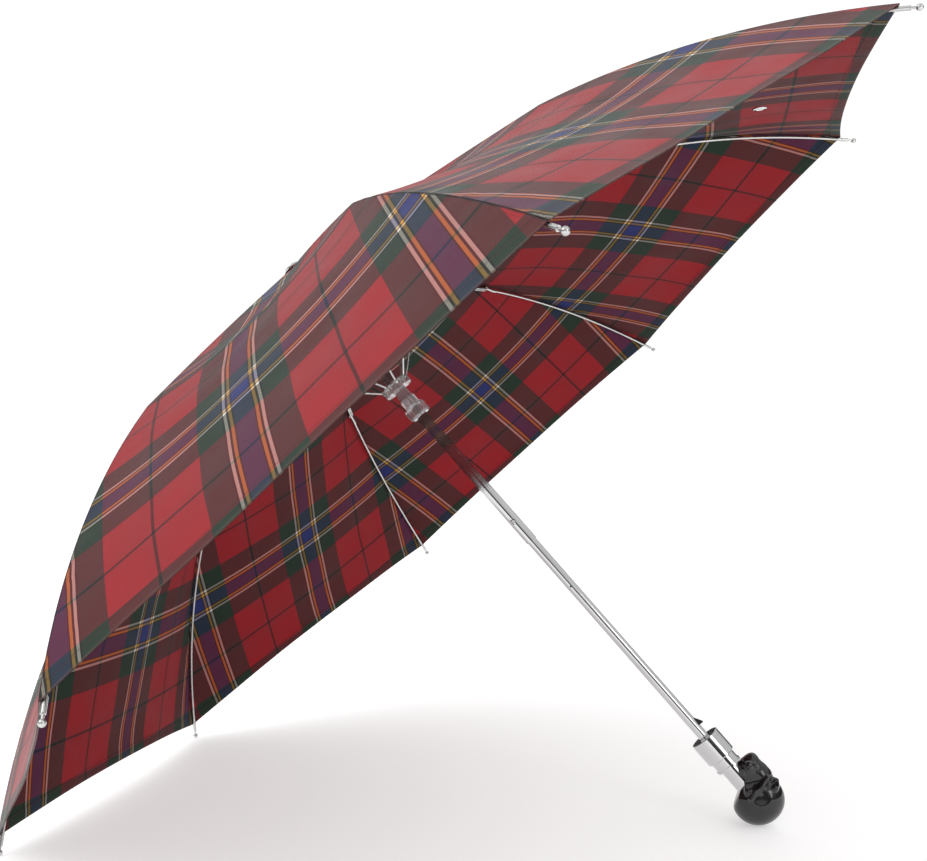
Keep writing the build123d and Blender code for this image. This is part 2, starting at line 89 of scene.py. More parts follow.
def on_shaft(radius, angle, along):
    """A point by its radius from the shaft, its angle round it and its distance along it."""
    return in_room((radius * math.cos(angle), radius * math.sin(angle), along))


print("rim centre", rim_centre, "shaft towards the handle", shaft_way)

# %% [markdown]
# ## Small helpers for meshes and shader nodes
# Each mesh below is made of points worked out by a formula, so one helper turns lists of points and
# faces into an object, one closes a thin skin between two grids and one lays UV maps. Shader trees are
# wired by hand in code, and short helpers keep that readable: one adds a node, one does arithmetic, one
# mixes two colours, and the rest make the ranges, the noise and the relief that the materials use.

# %% Mesh helpers
def add_mesh(name, points, faces, materials, smooth=True):
    mesh = bpy.data.meshes.new(name)
    mesh.from_pydata([tuple(p) for p in points], [], [tuple(int(i) for i in f) for f in faces])
    for material in materials:
        mesh.materials.append(material)
    if smooth:
        mesh.shade_smooth()
    mesh.validate()
    obj = bpy.data.objects.new(name, mesh)
    bpy.context.scene.collection.objects.link(obj)
    return obj


def skin_faces(low, high, outward):
    """Faces of a closed thin skin between two grids of points: the low side, the high side and the edge
    that joins them. Also how many faces the low side has."""
    rows, cols = low.shape[:2]
    index = np.arange(rows * cols).reshape(rows, cols)
    quads = np.stack([index[:-1, :-1], index[:-1, 1:], index[1:, 1:], index[1:, :-1]], -1).reshape(-1, 4)
    loop = np.concatenate([index[0, :-1], index[:-1, -1], index[-1, :0:-1], index[:0:-1, 0]])
    wall = np.stack([loop, np.roll(loop, -1), np.roll(loop, -1) + index.size, loop + index.size], -1)
    # a quad from the middle tells which way round all of them go
    middle = quads[len(quads) // 2]
    a, b, c, _ = high.reshape(-1, 3)[middle]
    if np.dot(np.cross(b - a, c - a), outward.reshape(-1, 3)[middle[0]]) < 0:
        quads, wall = quads[:, ::-1], wall[:, ::-1]
    return np.concatenate([quads[:, ::-1], quads + index.size, wall[:, ::-1]]), len(quads)


def lay_uvs(mesh, layers):
    """UV maps from values given point by point."""
    corner = np.zeros(len(mesh.loops), np.int32)
    mesh.loops.foreach_get("vertex_index", corner)
    for layer, values in layers.items():
        mesh.uv_layers.new(name=layer).data.foreach_set("uv", values[corner].astype(np.float32).ravel())


print("mesh helpers ready")

# %% Shader helpers
def new_material(name):
    """A material with its shader, ready for wiring."""
    material = bpy.data.materials.new(name)
    material.use_nodes = True
    return material, material.node_tree, material.node_tree.nodes["Principled BSDF"]


def add_node(tree, kind, **settings):
    node = tree.nodes.new(kind)
    for key, value in settings.items():
        setattr(node, key, value)
    return node


def feed(tree, socket, value):
    if isinstance(value, bpy.types.NodeSocket):
        tree.links.new(value, socket)
    else:
        socket.default_value = value


def calc(tree, operation, *values):
    """One arithmetic step."""
    node = add_node(tree, "ShaderNodeMath", operation=operation)
    for socket, value in zip(node.inputs, values):
        feed(tree, socket, value)
    return node.outputs[0]


def mixed(tree, share, first, second, way="MIX"):
    """Two colours mixed by a share."""
    node = add_node(tree, "ShaderNodeMix", data_type="RGBA", blend_type=way)
    for index, value in ((0, share), (6, first), (7, second)):
        feed(tree, node.inputs[index], value)
    return node.outputs[2]


def spread(tree, value, low, high, new_low, new_high):
    """A value moved from one range to another, and held inside it."""
    node = add_node(tree, "ShaderNodeMapRange", clamp=True)
    for socket, number in zip(node.inputs, (value, low, high, new_low, new_high)):
        feed(tree, socket, number)
    return node.outputs[0]


def speckle(tree, scale, detail=3.0, where=None):
    """Soft noise through the solid, or over given coordinates."""
    node = add_node(tree, "ShaderNodeTexNoise")
    node.inputs["Scale"].default_value = scale
    node.inputs["Detail"].default_value = detail
    if where is None:
        where = add_node(tree, "ShaderNodeTexCoord").outputs["Object"]
    tree.links.new(where, node.inputs["Vector"])
    return node.outputs["Fac"]


def raised(tree, shader, height, strength, depth):
    """Fine relief from a height value."""
    bump = add_node(tree, "ShaderNodeBump")
    bump.inputs["Strength"].default_value = strength
    bump.inputs["Distance"].default_value = depth
    tree.links.new(height, bump.inputs["Height"])
    tree.links.new(bump.outputs["Normal"], shader.inputs["Normal"])


def srgb(red, green, blue):
    """A screen colour of 0 to 255 as the linear values that a shader takes."""
    def linear(c):
        c /= 255
        return c / 12.92 if c <= 0.04045 else ((c + 0.055) / 1.055) ** 2.4
    return (linear(red), linear(green), linear(blue), 1.0)


print("shader helpers ready")

# %% [markdown]
# ## Tartan: one list of stripes, woven both ways
# A tartan's pattern, its sett, is one list of coloured yarns that is read out from a pivot, turned round
# and read back. The same list runs along the panel and across it. Where two colours cross, the eye mixes
# them half and half, and only like over like is pure. So the material reads the stripe list twice, once
# for each direction, and lays the two over each other with a fine twill. Real repeats are in metres, so
# the cloth's own flat coordinates are kept on the mesh as a UV map.

# %% The stripe list and its yarns
YARN = {
    "blue": srgb(30, 40, 104),
    "black": srgb(16, 12, 14),
    "yellow": srgb(206, 150, 48),
    "white": srgb(222, 212, 198),
    "green": srgb(24, 46, 32),
    "red": srgb(150, 17, 28),
    "dull_red": srgb(146, 24, 34),
}
REPEAT = 0.149
# each stripe by the yarn and how far from the pivot it starts
STRIPES = [("blue", 0), ("black", 0.0070), ("yellow", 0.0083), ("black", 0.0106), ("white", 0.0124),
           ("black", 0.0146), ("green", 0.0162), ("red", 0.0362), ("dull_red", 0.0652),
           ("black", 0.0732)]
PIVOT_ACROSS = 0.0155
PIVOT_UP = 0.1195
TWILL = 0.0014


def stripes(tree, distance, pivot):
    """The stripe list read along one direction of the cloth."""
    shifted = calc(tree, "SUBTRACT", distance, pivot)
    folded = calc(tree, "PINGPONG", shifted, REPEAT / 2)
    share = calc(tree, "DIVIDE", folded, REPEAT / 2)
    ramp = add_node(tree, "ShaderNodeValToRGB")
    ramp.color_ramp.interpolation = "CONSTANT"
    ends = ramp.color_ramp.elements
    for stop, (yarn, start) in enumerate(STRIPES):
        place = start / (REPEAT / 2)
        element = ends[0] if stop == 0 else ends[-1] if stop == 1 else ends.new(place)
        element.position = place
        element.color = YARN[yarn]
    tree.links.new(share, ramp.inputs["Fac"])
    return ramp.outputs["Color"]


print(f"{len(STRIPES)} stripes, repeat {REPEAT * 1000:.0f} mm")

# %% Woven cloth material
SEAM_WIDTH = 0.0009
STITCH_LINE = 0.0028
STITCH_PITCH = 0.0026
STITCH_HALF_WIDE = 0.00035
STITCH_GAP = 0.35                # the share of a stitch's pitch that is bare
HEM = 0.0095
HEM_STITCHES = HEM - 0.0012
HEM_STEP_HALF_WIDE = 0.0004
WORN_EDGE = 0.0012
DARK_SHARE = 0.48
STITCH_THREAD = srgb(90, 16, 26)
# painted shade colour for the seam line and the hem's fold
PAINTED_CREASE_SHADE = srgb(18, 8, 10)
WORN_THREAD = srgb(150, 110, 104)
CLOUDS_SCALE, SLUBS_SCALE, CRINKLE_SCALE = 26.0, 900.0, 60.0
RELIEF_DEPTH = 0.0006


def tartan(name, roughness, sheen, shade, gloss):
    """Twill tartan with seams and stitches; shade is a painted shade that darkens the face that shows less
    light.
    """
    material, tree, shader = new_material(name)
    flat = add_node(tree, "ShaderNodeSeparateXYZ")
    cloth = add_node(tree, "ShaderNodeUVMap", uv_map="cloth").outputs["UV"]
    tree.links.new(cloth, flat.inputs[0])
    across, up = flat.outputs[0], flat.outputs[1]
    edge = add_node(tree, "ShaderNodeSeparateXYZ")
    tree.links.new(add_node(tree, "ShaderNodeUVMap", uv_map="edges").outputs["UV"], edge.inputs[0])
    to_seam, to_hem = edge.outputs[0], edge.outputs[1]

    warp = stripes(tree, across, PIVOT_ACROSS)
    weft = stripes(tree, up, PIVOT_UP)
    along_twill = calc(tree, "MULTIPLY", calc(tree, "ADD", across, up), math.tau / TWILL)
    diagonal = calc(tree, "SINE", along_twill)
    colour = mixed(tree, spread(tree, diagonal, -1, 1, 0.38, 0.62), warp, weft)
    # dark yarns show more than bright ones where they cross, because they hide what lies under them
    colour = mixed(tree, DARK_SHARE, colour, mixed(tree, 1.0, warp, weft, "DARKEN"))

    # tone varies softly at random over a panel, and a little from thread to thread; shade on top of it is
    # painted shade, darker on the face that shows less light
    clouds = speckle(tree, CLOUDS_SCALE, 2.0, cloth)
    slubs = speckle(tree, SLUBS_SCALE, 1.0, cloth)
    tone = calc(tree, "MULTIPLY", spread(tree, clouds, 0.3, 0.7, 0.93, 1.05),
                spread(tree, slubs, 0.3, 0.7, 0.95, 1.04))
    tone_and_painted_shade = add_node(tree, "ShaderNodeCombineColor")
    for socket in tone_and_painted_shade.inputs:
        tree.links.new(calc(tree, "MULTIPLY", tone, shade), socket)
    colour = mixed(tree, 1.0, colour, tone_and_painted_shade.outputs[0], "MULTIPLY")

    # seam over the rib, its two rows of stitches, and the row that holds the hem; the seam line and the hem's
    # fold also get painted shade
    seam = calc(tree, "LESS_THAN", to_seam, SEAM_WIDTH)
    dash_up, dash_across = (
        calc(tree, "GREATER_THAN", calc(tree, "FRACT", calc(tree, "DIVIDE", way, STITCH_PITCH)), STITCH_GAP)
        for way in (up, across))
    near_seam = calc(tree, "COMPARE", to_seam, STITCH_LINE, STITCH_HALF_WIDE)
    near_hem = calc(tree, "COMPARE", to_hem, HEM_STITCHES, STITCH_HALF_WIDE)
    hem_step = calc(tree, "COMPARE", to_hem, HEM, HEM_STEP_HALF_WIDE)
    stitches = calc(tree, "MAXIMUM", calc(tree, "MULTIPLY", near_seam, dash_up),
                    calc(tree, "MULTIPLY", near_hem, dash_across))
    colour = mixed(tree, calc(tree, "MULTIPLY", stitches, 0.5), colour, STITCH_THREAD)
    # painted shade: the seam line and the hem's fold are darkened towards near black, as if in shadow; the
    # same mask sinks them in the relief
    crease_sink_and_painted_shade = calc(tree, "MAXIMUM", seam, calc(tree, "MULTIPLY", hem_step, 0.6))
    colour = mixed(tree, calc(tree, "MULTIPLY", crease_sink_and_painted_shade, 0.75), colour, PAINTED_CREASE_SHADE)
    # rubbed thread along the cut edge
    worn = spread(tree, to_hem, 0.0, WORN_EDGE, 0.25, 0.0)
    colour = mixed(tree, worn, colour, WORN_THREAD)
    tree.links.new(colour, shader.inputs["Base Color"])

    # relief: ribs of the twill, sunk seams, and the soft crinkle of thin cloth
    crinkle = calc(tree, "MULTIPLY", speckle(tree, CRINKLE_SCALE, 3.0, cloth), 1.2)
    relief = calc(tree, "ADD", calc(tree, "MULTIPLY", diagonal, 0.10), crinkle)
    relief = calc(tree, "SUBTRACT", relief, calc(tree, "MULTIPLY", crease_sink_and_painted_shade, 0.9))
    relief = calc(tree, "ADD", relief, calc(tree, "MULTIPLY", stitches, 0.25))
    raised(tree, shader, relief, 0.35, RELIEF_DEPTH)
    tree.links.new(spread(tree, clouds, 0.3, 0.7, roughness - 0.06, roughness + 0.06),
                   shader.inputs["Roughness"])
    shader.inputs["Sheen Weight"].default_value = sheen
    shader.inputs["Sheen Roughness"].default_value = 0.35
    shader.inputs["Sheen Tint"].default_value = (1.0, 0.97, 0.95, 1.0)
    shader.inputs["Specular IOR Level"].default_value = gloss
    return material


outside_cloth = tartan("tartan_outside", 0.46, 0.04, 1.0, 0.30)
# the underside is the same cloth with painted shade: its colours are darkened to 0.74 of the outside's
# because it shows less light
underside_cloth_painted_shade = tartan("tartan_underside_painted_shade", 0.72, 0.02, 0.74, 0.20)
print("cloth materials:", outside_cloth.name, underside_cloth_painted_shade.name)

# %% [markdown]
# ## The cover's shape
# Seen from the side, the cover's ridge over each rib is nearly straight from the cap to the rib's fold and
# then bends down to the hem in one arc. Between two ribs the cloth is stretched thin, so it takes a saddle
# shape: it dips in a little towards the handle half way across, and its hem is drawn in between the tips.
# A sheet like that could be simulated with pinned edges. A formula gives a smooth saddle of that kind,
# keeps the stripes exactly where they are woven, and never changes from run to run, so it is used here.

# %% Ridge line and hem
CROWN = (0.007, -0.229)          # under the cap
CROWN_MID = (0.131, -0.1926)
FOLD = (0.261, -0.152)           # over the ribs' folds
RIM_MID = (0.3735, -0.092)
CORNER = (0.476, -0.0108)        # where the hem meets a rib tip
HEM_DRAWN_IN = 0.010             # how far the hem curves in between two tips, along the cloth
CLOTH = 0.0005
# how deep the cloth dips half way between two ribs, by the distance down the panel
DIP = [(0.0, 0.0), (0.12, 0.0085), (0.27, 0.0105), (0.40, 0.0105), (0.50, 0.0060)]
WAVE_DEEP = 0.0016               # soft unevenness of the stretched cloth
WAVE_EASES = 0.1                 # how far down the panel it is full
WAVE_RATES = (3.1, 1.6, 5.0)     # how fast it varies from panel to panel, across and down
PUCKER_DEEP, PUCKER_PITCH = 0.0004, 0.021
PUCKER_FADES, PUCKER_STARTS = 0.012, 0.002       # distances from the seam
HEM_TURNED_IN, HEM_SLOPE = 0.0005, 0.0008
INSIDE = 0.2                     # from the rim's middle towards the handle, a point the inside faces


def arc_through(start, middle, end, shares):
    """Points at given shares along the circle through three points."""
    (ax, ay), (bx, by), (cx, cy) = start, middle, end
    d = 2 * (ax * (by - cy) + bx * (cy - ay) + cx * (ay - by))
    ux = ((ax**2 + ay**2) * (by - cy) + (bx**2 + by**2) * (cy - ay) + (cx**2 + cy**2) * (ay - by)) / d
    uy = ((ax**2 + ay**2) * (cx - bx) + (bx**2 + by**2) * (ax - cx) + (cx**2 + cy**2) * (bx - ax)) / d
    first, last = math.atan2(ay - uy, ax - ux), math.atan2(cy - uy, cx - ux)
    turn = (last - first + math.pi) % math.tau - math.pi
    angles = first + turn * np.asarray(shares)
    radius = math.hypot(ax - ux, ay - uy)
    return ux + radius * np.cos(angles), uy + radius * np.sin(angles)


def arc_length(arc):
    r, z = arc_through(*arc, np.linspace(0, 1, 200))
    return float(np.hypot(np.diff(r * math.cos(HALF_STEP)), np.diff(z)).sum())


CROWN_ARC = (CROWN, CROWN_MID, FOLD)
RIM_ARC = (FOLD, RIM_MID, CORNER)
crown_length, rim_length = arc_length(CROWN_ARC), arc_length(RIM_ARC)
panel_length = crown_length + rim_length - HEM_DRAWN_IN
print(f"a panel is {panel_length * 1000:.0f} mm long down its middle")

# %% [markdown]
# ## Half a panel at a time
# When the umbrella shuts, each rib carries the half panels on its two sides with it. So the cover is built
# as half panels that share exact edges: along a rib's seam, down a panel's middle and across the ribs'
# folds. Open, they read as one sheet. Each half is a closed skin half a millimetre thick, with the outside
# on one material and the underside on another, and its normals come from the whole panel's surface, so that
# no shading line shows where two halves meet. Shut, each piece is only squashed flat beside its rib and the
# pieces cut through one another. A real cover gathers and wraps, which this one doesn't.

# %% Points on one panel
def unevenness(panel, across, run):
    by_panel, by_width, by_length = WAVE_RATES
    return np.array([[noise.noise(Vector((by_panel * panel, by_width * a, by_length * q)))
                      for a, q in zip(*row)] for row in zip(across, run)])


def panel_points(panel, across, run):
    """Cloth points. across goes from -1 on the panel's first rib to 1 on its next; run is 0 at the crown,
    1 over the folds and 2 at the hem."""
    crown_r, crown_z = arc_through(*CROWN_ARC, np.clip(run, 0, 1))
    drawn = HEM_DRAWN_IN / rim_length * (1 - across**2)
    rim_r, rim_z = arc_through(*RIM_ARC, np.clip(run - 1, 0, 1) * (1 - drawn))
    r, z = np.where(run <= 1, crown_r, rim_r), np.where(run <= 1, crown_z, rim_z)
    length = np.where(run <= 1, run * crown_length, crown_length + (run - 1) * (1 - drawn) * rim_length)
    dip = np.interp(length, *zip(*DIP)) * (1 - across**2)
    wave = unevenness(panel, across, run)
    dip = dip + WAVE_DEEP * wave * (1 - across**2) * np.clip(length / WAVE_EASES, 0, 1)
    to_rib = (1 - np.abs(across)) * r * math.sin(HALF_STEP)
    pucker = np.exp(-to_rib / PUCKER_FADES) * np.clip(to_rib / PUCKER_STARTS, 0, 1)
    dip = dip + PUCKER_DEEP * pucker * np.sin(length * math.tau / PUCKER_PITCH)
    rho = r * math.cos(HALF_STEP)
    # the way in from the cloth, square to it, on the handle's side
    slope = np.arctan2(np.gradient(z, axis=0), np.gradient(rho, axis=0))
    rho, z = rho - np.sin(slope) * dip, z + np.cos(slope) * dip
    y = across * r * math.sin(HALF_STEP)
    a = (panel - 1) * 2 * HALF_STEP
    points = np.stack([rho * math.cos(a) - y * math.sin(a), rho * math.sin(a) + y * math.cos(a), z], -1)
    return in_room(points), y, panel_length - length, to_rib, (length[-1] - length)


def surface_normals(points):
    """Unit normals of a grid of points, turned to the outside of the cover."""
    down, over = np.gradient(points, axis=0), np.gradient(points, axis=1)
    normals = np.cross(down, over)
    normals /= np.maximum(np.linalg.norm(normals, axis=-1, keepdims=True), 1e-12)
    outward = (points - ORIGIN) - np.array(shaft_way) * INSIDE
    flip = np.sign((normals * outward).sum(-1))
    return normals * np.where(flip == 0, 1, flip)[..., None]


RIB_SIDE = [0, 0.012, 0.03, 0.06]       # closely spaced columns beside the rib's seam
columns = np.array(RIB_SIDE + list(np.linspace(0.1, 1, 14)))
crown_rows = np.linspace(0, 1, 34)
hem_rows = 2 - np.array([0.055, HEM + 0.0006, HEM - 0.0006, 0.005, 0.0]) / [1, *[rim_length] * 4]
rim_rows = np.concatenate([np.linspace(1, 1.93, 32), hem_rows])
print(len(columns), "columns,", len(crown_rows), "+", len(rim_rows), "rows for a half panel")

# %% A closed skin from a grid
def half_skin(panel, side, rows):
    """One half panel's skin: points, faces, normals, flat coordinates, edge distances, face materials."""
    across, run = np.meshgrid(side * (1 - columns), rows)
    whole_across = np.concatenate([across, -across[:, -2:-1]], axis=1)
    whole_run = np.concatenate([run, run[:, :1]], axis=1)
    extra = np.concatenate([whole_run[:1] - 0.01, whole_run, whole_run[-1:] + 0.01])
    wide = np.concatenate([whole_across[:1], whole_across, whole_across[-1:]])
    extra = np.clip(extra, 0, 2)
    points, *_ = panel_points(panel, wide, extra)
    normals = surface_normals(points)[1:-1, :-1]
    points, y, up, to_rib, to_hem = panel_points(panel, across, run)
    if rows[-1] <= 1:
        to_hem = to_hem + rim_length
    turned_in = HEM_TURNED_IN * np.clip((HEM - to_hem) / HEM_SLOPE + 0.5, 0, 1)
    inner = points - normals * turned_in[..., None]
    outer = points + normals * CLOTH
    faces, under = skin_faces(inner, outer, normals)
    return {
        "points": np.concatenate([inner.reshape(-1, 3), outer.reshape(-1, 3)]),
        "faces": faces,
        "normals": np.concatenate([-normals.reshape(-1, 3), normals.reshape(-1, 3)]),
        "cloth": np.tile(np.stack([y, up], -1).reshape(-1, 2), (2, 1)),
        "edges": np.tile(np.stack([to_rib, to_hem], -1).reshape(-1, 2), (2, 1)),
        "kind": (np.arange(len(faces)) >= under).astype(int),
    }


def cloth_piece(name, skins):
    """One object from several skins, with its UV maps and normals."""
    starts = np.cumsum([0] + [len(s["points"]) for s in skins])
    points = np.concatenate([s["points"] for s in skins])
    faces = np.concatenate([s["faces"] + start for s, start in zip(skins, starts)])
    obj = add_mesh(name, points, faces, [underside_cloth_painted_shade, outside_cloth])
    mesh = obj.data
    mesh.polygons.foreach_set("material_index", np.concatenate([s["kind"] for s in skins]).astype(np.int32))
    lay_uvs(mesh, {layer: np.concatenate([s[layer] for s in skins]) for layer in ("cloth", "edges")})
    mesh.normals_split_custom_set_from_vertices(np.concatenate([s["normals"] for s in skins]).tolist())
    return obj


# %% Sew the cover
for k in range(1, RIBS + 1):
    before = k - 1 if k > 1 else RIBS
    for part, rows, width, length in (
        ("crown", crown_rows, 2 * FOLD[0] * math.sin(HALF_STEP), crown_length),
        ("rim", rim_rows, 2 * CORNER[0] * math.sin(HALF_STEP), rim_length),
    ):
        skins = [half_skin(before, 1, rows), half_skin(k, -1, rows)]
        piece = cloth_piece(f"cover_{part}_cloth_{k}", skins)
        body = f"inner_rib_{k}" if part == "crown" else f"outer_rib_{k}"
        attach(piece, body)
        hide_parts(f"cover_{part}_{k}")
        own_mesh(piece)

# %% [markdown]
# ## Closing strap, its press stud and the rosette under the cap
# The strap is a short band of the cover's own cloth with round ends, lying on the outside of one panel. It
# could be a flat slab, but the panel under it is curved, so the slab would float or cut in. Its points are
# taken from the same panel formula, a little further out, and it follows the cloth everywhere. The stud
# has a domed cap outside and a back plate inside; both are turned shapes, like the real pressed ones. The
# rosette is a small pinked disc of cloth that keeps the cap's edge from wearing the cover.

# %% Strap
STRAP_PANEL = 5
STRAP_OFF = -0.030               # off the panel's middle line, towards its first rib
STRAP_MIDDLE = 1.58
STRAP_LONG, STRAP_WIDE, STRAP_THICK = 0.084, 0.018, 0.0008
STRAP_CLEAR = 0.0006
END_HALF_WIDTH_SQUARED = 4e-8    # keeps the strap's round ends from closing to a point
NO_HEM = 0.1                     # a distance that no hem or seam reaches


def slab(name, low, high, materials, layers):
    """A closed thin piece between two grids of points, with its UV maps."""
    points = np.concatenate([low.reshape(-1, 3), high.reshape(-1, 3)])
    faces, _ = skin_faces(low, high, high - low)
    obj = add_mesh(name, points, faces, materials)
    lay_uvs(obj.data, {layer: np.tile(grid.reshape(-1, 2), (2, 1)) for layer, grid in layers.items()})
    return obj


def on_panel(offsets, runs):
    """Points and normals on the strap's panel, at distances off its middle line."""
    r = arc_through(*RIM_ARC, runs[:, :1] - 1)[0]
    points, y, up, *_ = panel_points(STRAP_PANEL, offsets / (r * math.sin(HALF_STEP)), runs)
    return points, surface_normals(points), y, up


def build_strap():
    lengthwise = np.concatenate([-np.cos(np.linspace(0, math.pi / 2, 8)) * STRAP_WIDE / 2, [0.0]])
    body = STRAP_LONG / 2 - STRAP_WIDE / 2
    ends = lengthwise[:-1] - body
    places = np.concatenate([ends, np.linspace(-body, body, 24)[1:-1], -ends[::-1]])
    beyond = np.clip(np.abs(places) - body, 0, STRAP_WIDE / 2)
    half = np.sqrt(np.maximum((STRAP_WIDE / 2) ** 2 - beyond**2, END_HALF_WIDTH_SQUARED))
    sides = np.linspace(-1, 1, 9)
    offsets = STRAP_OFF + half[:, None] * sides
    runs = np.repeat((STRAP_MIDDLE + places / rim_length)[:, None], len(sides), axis=1)
    points, normals, y, up = on_panel(offsets, runs)
    low = points + normals * (CLOTH + STRAP_CLEAR)
    to_edge = half[:, None] * (1 - np.abs(sides))
    layers = {"cloth": np.stack([y, up], -1), "edges": np.stack([to_edge, np.full_like(to_edge, NO_HEM)], -1)}
    strap = slab("strap_cloth", low, low + normals * STRAP_THICK, [outside_cloth], layers)
    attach(strap, f"outer_rib_{STRAP_PANEL}")
    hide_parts("closure_strap")
    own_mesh(strap)
    return strap


print("strap", [round(d * 1000, 1) for d in build_strap().dimensions], "mm")

# %% Press stud
STUD_RUN = 1.71
STUD_CAP_LIFT, STUD_BACK_DROP = 0.0003, 0.0006
RUN_STEP, WIDTH_STEP = 0.01, 0.002               # small steps that give the cloth's slope at the stud
STUD_CAP = [(0, 0.0012), (0.0022, 0.0011), (0.0038, 0.0007), (0.0047, 0.0002),
            (0.0050, -0.0003), (0, -0.0003)]
STUD_BACK = [(0, -0.0004), (0.0026, -0.0004), (0.0030, -0.0008), (0.0036, -0.0004), (0.0052, -0.0006),
             (0.0060, 0.0), (0.0058, 0.0003), (0, 0.0003)]


def turned_piece(profile, centre, way, count=32):
    """Points and faces of a shape turned round an axis, from (radius, along) steps."""
    x = way.orthogonal().normalized()
    y = way.cross(x)
    points, faces = [centre + way * profile[0][1]], []
    for radius, along in profile[1:-1]:
        for n in range(count):
            a = math.tau * n / count
            points.append(centre + way * along + (x * math.cos(a) + y * math.sin(a)) * radius)
    points.append(centre + way * profile[-1][1])
    rings = len(profile) - 2
    for n in range(count):
        m = (n + 1) % count
        faces.append((0, 1 + n, 1 + m))
        for ring in range(rings - 1):
            base = 1 + ring * count
            faces.append((base + n, base + count + n, base + count + m, base + m))
        last = 1 + (rings - 1) * count
        faces.append((last + m, last + n, len(points) - 1))
    return points, faces


def build_stud(material):
    runs = np.array([[STUD_RUN - RUN_STEP], [STUD_RUN], [STUD_RUN + RUN_STEP]]) * np.ones((1, 3))
    offsets = np.array([[STRAP_OFF - WIDTH_STEP, STRAP_OFF, STRAP_OFF + WIDTH_STEP]]) * np.ones((3, 1))
    points, normals, *_ = on_panel(offsets, runs)
    middle, way = Vector(points[1, 1]), Vector(normals[1, 1]).normalized()
    top = middle + way * (CLOTH + STRAP_CLEAR + STRAP_THICK + STUD_CAP_LIFT)
    p, f = turned_piece(STUD_CAP, top, way)
    q, g = turned_piece(STUD_BACK, middle - way * STUD_BACK_DROP, way)
    g = [tuple(reversed([i + len(p) for i in face])) for face in g]
    stud = add_mesh("strap_press_stud", p + q, f + g, [material])
    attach(stud, f"outer_rib_{STRAP_PANEL}")
    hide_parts("strap_stud")
    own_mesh(stud)
    return stud


print("stud profile has", len(STUD_CAP), "steps; it is pressed once the metals are ready")

# %% Rosette
PINKS = 28
PINK_DEEP = 0.0006
ROSETTE_R, ROSETTE_HOLE = 0.0098, 0.0051
ROSETTE_LOW, ROSETTE_HIGH = -0.2302, -0.2297     # along the shaft
ROSETTE_CUT = 0.03               # where on the cloth it was cut out
ROSETTE_NO_SEAM = 0.05           # a distance that no seam or hem reaches


def build_rosette():
    angles = np.linspace(0, math.tau, 2 * PINKS + 1)
    edge = ROSETTE_R - PINK_DEEP * (np.arange(len(angles)) % 2)
    radii = ROSETTE_HOLE + (edge[:, None] - ROSETTE_HOLE) * np.linspace(0, 1, 5)
    x, y = radii * np.cos(angles)[:, None], radii * np.sin(angles)[:, None]
    far, near = (in_room(np.stack([x, y, np.full_like(x, z)], -1)) for z in (ROSETTE_HIGH, ROSETTE_LOW))
    layers = {"cloth": np.stack([x + ROSETTE_CUT, y + ROSETTE_CUT], -1),
              "edges": np.full(x.shape + (2,), ROSETTE_NO_SEAM)}
    rosette = slab("rosette_cloth", far, near, [outside_cloth], layers)
    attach(rosette, "upper_shaft")
    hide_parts("cap_rosette")
    return rosette


print("rosette", [round(d * 1000, 1) for d in build_rosette().dimensions], "mm")

# %% [markdown]
# ## The skull knob
# The knob is a cast skull about the size of a plum. It could be sculpted by hand, or carved from a block
# with modifiers. Here every bone is one rounded form: an ellipsoid for the brain case, others for the jaws
# and chin, and rounded bars for the brow, cheekbones and the jaw's hinge. They are blended like soft clay,
# the eye sockets, nose and hollows are scooped out, and a fine ball of points is shrunk onto the result.

# %% Forms and blends
# lengths in millimetres: forward from the shaft's line, to the side, and away from the neck
KNOB_ALONG = 0.3635
BRAIN_CASE = ((-0.4, 0, 0.3), (21.4, 17.5, 20.2))
BASE_POINT, BASE_WAY, BASE_SOFT = (-7.2, 0, -14.8), (-0.447, 0, -0.894), 3.0     # flat cut behind the jaw
# added ellipsoids: middle, radii, how softly they blend
JAWS = [((12, 0, -15), (11.5, 10.5, 14), 3.0),           # upper jaw and face
        ((11, 0, -25), (11.5, 11, 8), 2.0),              # lower jaw
        ((17, 0, -28.5), (5.5, 6.5, 4.2), 2.0)]          # chin
# added bars: two ends, radius, how softly they blend
BARS = [((14, 9.5, -27), (0, 12.5, -12), 3.2, 2.0),      # the jaw's branch up to its hinge
        ((18, 8.5, -10), (6, 14.5, -8.5), 2.6, 1.6),     # cheekbone
        ((6, 14.5, -8.5), (-2, 16, -7), 1.8, 1.6),       # its arch to the temple
        ((20.5, 0, -2.5), (18, 11, -1), 2.6, 2.0)]       # brow
# scooped ellipsoids: middle, radii, how softly they blend
HOLLOWS = [((8, 19.5, -4), (9, 4.5, 8), 2.0),            # temple
           ((9, 14.5, -17), (9, 4.5, 6.5), 2.0),         # cheek
           ((21, 7.3, -4.5), (8, 5.2, 5.0), 1.0),        # eye socket
           ((22.5, 1.6, -15.5), (4, 1.9, 3.6), 0.7),     # nose, beside its middle
           ((22.5, 0, -12.5), (4, 1.6, 2.6), 0.7)]       # nose, at its top
TEETH_START, TEETH_EASE = 8, 4                           # forward
JAW_TURN_CENTRE, JAW_TURN_R = 9, 13
TOOTH_WIDE, TOOTH_GROOVE, GROOVE_DEEP = 2.6, 0.42, 0.55
TEETH_HALF_HIGH = 3.8
MOUTH_LEVEL, MOUTH_HALF_WIDE, MOUTH_DEEP = -24, 0.45, 0.75


def ellipsoid(p, centre, radii):
    q = p - centre
    near = np.linalg.norm(q / radii, axis=-1)
    return near * (near - 1) / np.maximum(np.linalg.norm(q / np.square(radii), axis=-1), 1e-9)


def bar(p, start, end, radius):
    """A rounded bar."""
    start, way = np.array(start), np.subtract(end, start)
    share = np.clip(((p - start) @ way) / (way @ way), 0, 1)
    return np.linalg.norm(p - start - share[:, None] * way, axis=-1) - radius


def joined(a, b, soft):
    h = np.clip(0.5 + 0.5 * (b - a) / soft, 0, 1)
    return b * (1 - h) + a * h - soft * h * (1 - h)


def scooped(a, b, soft):
    return -joined(-a, b, soft)


